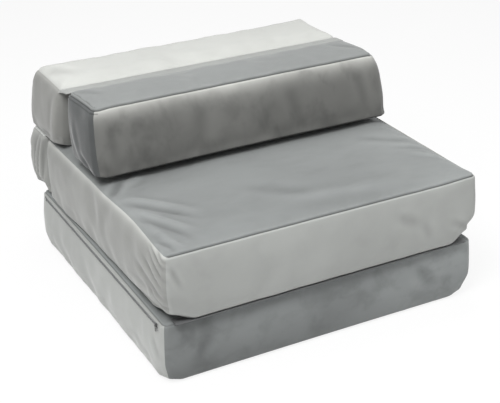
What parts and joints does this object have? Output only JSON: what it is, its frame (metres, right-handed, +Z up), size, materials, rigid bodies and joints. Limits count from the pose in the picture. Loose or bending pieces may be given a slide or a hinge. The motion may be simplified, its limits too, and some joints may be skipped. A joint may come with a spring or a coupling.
{
  "type": "convertible chair bed",
  "caption": "Velvet-covered foam chair that unfolds into a flat single mattress: base, seat, slim spine block, back bolster and head bolster in one folding chain.",
  "frame": {"origin": "middle of the base's flat underside, on the floor", "axes": "+Z up, the sitter faces -Y, +X to the right seen from the front"},
  "size_m": [0.8043, 0.8316, 0.5049],
  "materials": {
    "velvet": "brushed short-pile velvet, warm light grey",
    "velvet_panel": "brushed short-pile velvet, cooler and darker grey where the nap lies the other way",
    "foam": "open-cell polyurethane foam",
    "tape": "woven grey tape",
    "coil": "grey nylon coil",
    "zip_slider": "dark grey lacquer"
  },
  "bodies": {
    "base": {"base_band": "velvet", "base_bottom": "velvet", "base_foam": "foam", "base_top": "velvet_panel", "base_zip_coil": "coil", "base_zip_tape": "tape", "front_hinge": "tape"},
    "seat": {"seat_band": "velvet", "seat_bottom": "velvet", "seat_foam": "foam", "seat_top": "velvet_panel", "seat_zip_coil": "coil", "seat_zip_tape": "tape", "spine_band": "velvet", "spine_bottom": "velvet", "spine_foam": "foam", "spine_join": "tape", "spine_top": "velvet_panel", "rear_hinge": "tape"},
    "back": {"back_foam": "foam", "back_rear": "velvet", "back_wrap": "velvet"},
    "head": {"head_band": "velvet", "head_bottom": "velvet", "head_foam": "foam", "head_top": "velvet_panel", "head_web": "tape"},
    "base_zip": {"base_zip_slider": "zip_slider"},
    "seat_zip": {"seat_zip_slider": "zip_slider"}
  },
  "joints": [
    {"name": "seat_fold", "type": "hinge", "parent": "base", "child": "seat", "pos_m": [0, -0.3945, 0.15515], "axis": [1, 0, 0], "range_deg": [0, 180]},
    {"name": "back_fold", "type": "hinge", "parent": "seat", "child": "back", "pos_m": [0, 0.4268, 0.32645], "axis": [-1, 0, 0], "range_deg": [0, 180]},
    {"name": "head_fold", "type": "hinge", "parent": "back", "child": "head", "pos_m": [0, 0.2015, 0.4866], "axis": [-1, 0, 0], "range_deg": [0, 150]},
    {"name": "base_zip_slide", "type": "slide", "parent": "base", "child": "base_zip", "axis": [0, 1, 0], "range_m": [0, 0.694]},
    {"name": "seat_zip_slide", "type": "slide", "parent": "seat", "child": "seat_zip", "axis": [0, 1, 0], "range_m": [0, 0.652]}
  ]
}
